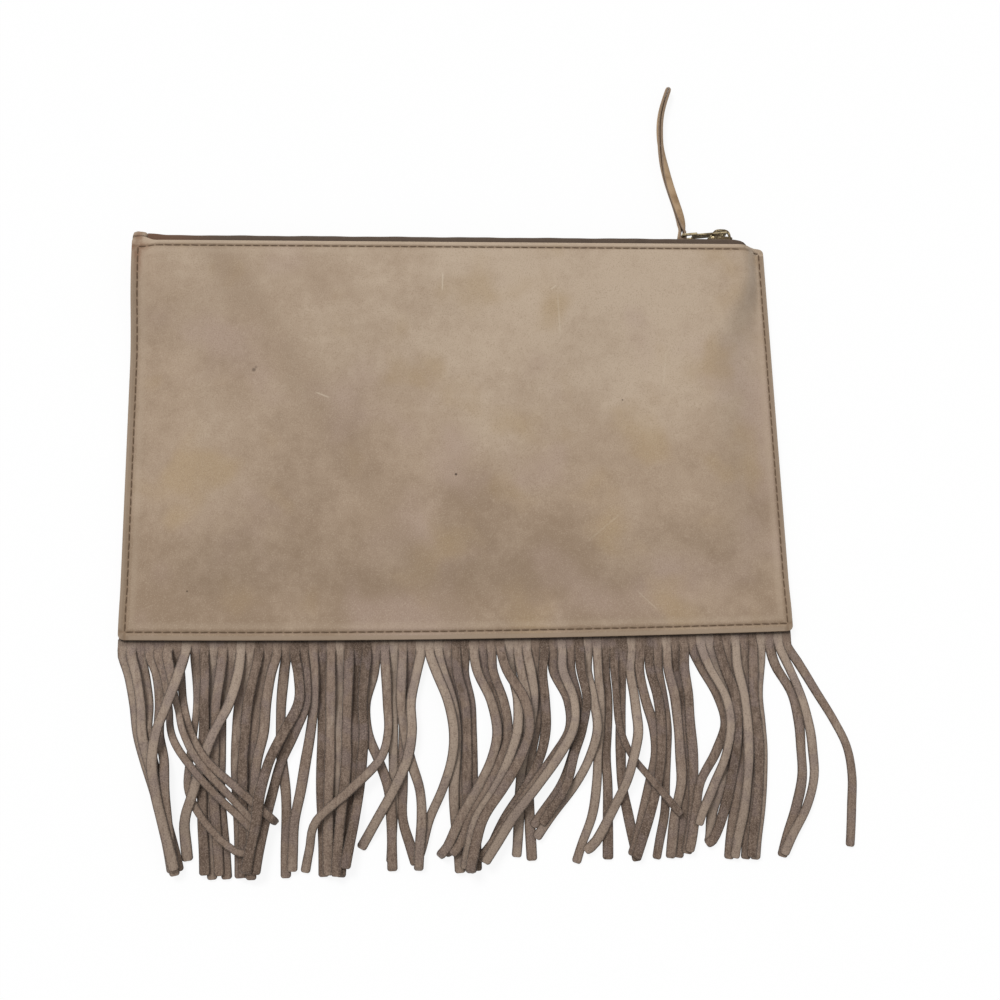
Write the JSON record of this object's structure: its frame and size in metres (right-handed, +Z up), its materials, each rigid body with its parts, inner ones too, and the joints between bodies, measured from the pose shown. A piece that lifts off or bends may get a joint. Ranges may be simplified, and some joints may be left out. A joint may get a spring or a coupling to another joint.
{
  "type": "fringed suede bag",
  "caption": "Flat zip clutch in nubuck leather lying on its back, with a long suede fringe along the bottom seam and a leather strap on the zip pull.",
  "frame": {"origin": "middle of the back panel's flat underside, at the level of the table", "axes": "+X to the right across the bag, +Y from the fringe towards the zip, +Z up out of the front panel"},
  "size_m": [0.3294, 0.3833, 0.0137],
  "materials": {
    "panel_leather": "light taupe nubuck leather, mottled and lightly rubbed",
    "fringe_suede": "darker grey-brown suede with a raised nap",
    "zip_tape": "woven polyester tape, dark taupe",
    "zip_nylon": "dyed nylon coil, dark taupe",
    "zip_metal": "dark antique brass, satin",
    "strap_leather": "brown leather with raw, darker cut edges"
  },
  "bodies": {
    "bag": {"back_panel": "panel_leather", "front_panel": "panel_leather", "fringe": "fringe_suede", "zip_tape_front": "zip_tape", "zip_tape_back": "zip_tape", "zip_coil_front": "zip_nylon", "zip_coil_back": "zip_nylon", "top_stop_front": "zip_metal", "top_stop_back": "zip_metal", "bottom_stop": "zip_metal"},
    "zip_slider": {"slider": "zip_metal"},
    "zip_pull": {"pull_tab": "zip_metal"},
    "strap": {"pull_strap": "strap_leather"}
  },
  "joints": [
    {"name": "zip_slide", "type": "slide", "parent": "bag", "child": "zip_slider", "axis": [-1, 0, 0], "range_m": [0, 0.2597], "deforming": ["zip_coil_front", "zip_coil_back"]},
    {"name": "pull_tab_hinge", "type": "hinge", "parent": "zip_slider", "child": "zip_pull", "pos_m": [0.13305, 0.1023, 0.0068], "axis": [0, 0, -1], "range_deg": [0, 90]},
    {"name": "strap_hinge", "type": "hinge", "parent": "zip_pull", "child": "strap", "pos_m": [0.11145, 0.10022, 0.0068], "axis": [0, 0, 1], "range_deg": [-15, 70]}
  ]
}
